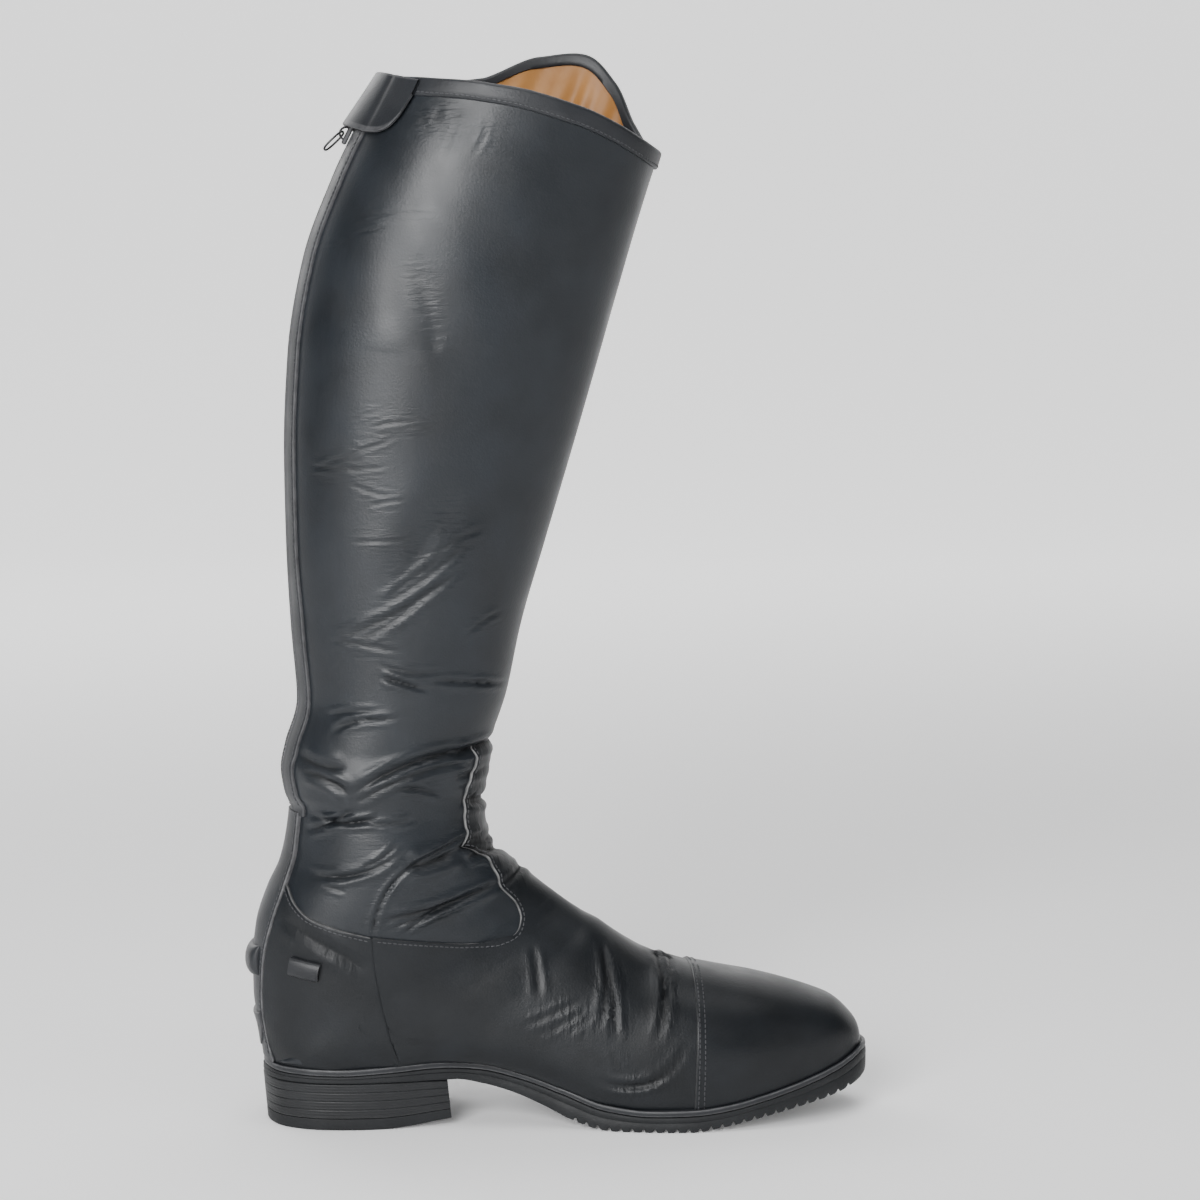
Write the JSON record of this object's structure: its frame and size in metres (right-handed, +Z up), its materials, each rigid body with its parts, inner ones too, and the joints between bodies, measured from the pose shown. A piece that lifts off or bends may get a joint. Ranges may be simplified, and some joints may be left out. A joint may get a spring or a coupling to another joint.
{
  "type": "dress riding boot",
  "caption": "Tall black leather riding boot for the left foot, with a raised outer collar, back zip, toe cap, spur rest, welted ribbed sole and stacked heel.",
  "frame": {"origin": "on the floor under the heel, on the line from the heel to the middle of the forefoot", "axes": "+X from heel to toe, +Y to the outer side of the left foot, +Z up the leg"},
  "size_m": [0.3023, 0.1027, 0.5118],
  "materials": {
    "boot_leather": "smooth black calf leather with a satin sheen",
    "trim_leather": "black trim leather",
    "sole_rubber": "matt black rubber",
    "heel_stack": "stained stacked heel",
    "lining_leather": "tan lining leather",
    "black_metal": "black coated metal",
    "zip_coil": "black nylon zip"
  },
  "bodies": {
    "boot": {"upper": "boot_leather", "vamp": "boot_leather", "toe_cap": "boot_leather", "counter_medial": "boot_leather", "counter_lateral": "boot_leather", "heel_strip": "trim_leather", "collar_binding": "trim_leather", "zip_chain": "zip_coil", "zip_facing_medial": "trim_leather", "zip_facing_lateral": "trim_leather", "zip_flap": "trim_leather", "zip_slider": "black_metal", "spur_rest": "trim_leather", "zip_shield": "trim_leather", "spur_keeper_medial": "trim_leather", "spur_keeper_lateral": "trim_leather", "insole": "lining_leather", "welt": "trim_leather", "outsole": "sole_rubber", "heel_lift_1": "heel_stack", "heel_lift_2": "heel_stack", "heel_lift_3": "heel_stack", "heel_lift_4": "heel_stack", "heel_top_piece": "sole_rubber"},
    "zip_pull": {"zip_pull": "black_metal"}
  },
  "joints": [
    {"name": "pull_swing", "type": "hinge", "parent": "boot", "child": "zip_pull", "pos_m": [0.00065, 0, 0.4719], "axis": [0, 1, 0], "range_deg": [-12, 90]}
  ]
}
